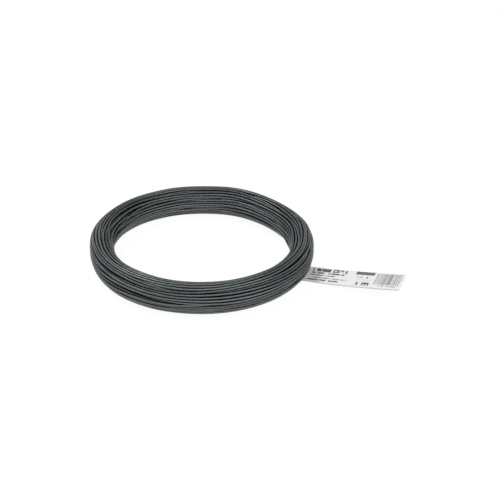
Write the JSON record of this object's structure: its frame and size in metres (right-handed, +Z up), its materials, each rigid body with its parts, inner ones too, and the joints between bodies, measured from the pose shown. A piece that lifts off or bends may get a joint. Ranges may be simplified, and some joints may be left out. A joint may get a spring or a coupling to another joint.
{
  "type": "coil of binding wire",
  "caption": "Round coil of dark annealed steel binding wire lying flat, its turns loosely bunched, with a narrow paper flag label sticking out from under it.",
  "frame": {"origin": "the middle of the ring: on the coil's axis, half the bundle's height above the surface that it lies on", "axes": "+Z up along the coil's axis; +X towards the side where the label sticks out, which makes it the longest way; +Y towards the rear as the picture shows it"},
  "size_m": [0.2782, 0.2, 0.0282],
  "materials": {
    "annealed_wire": "dark grey satin annealing oxide, bare and unpainted",
    "label_paper": null
  },
  "bodies": {
    "root": {"wire_coil": "annealed_wire", "label": "label_paper"}
  },
  "joints": []
}
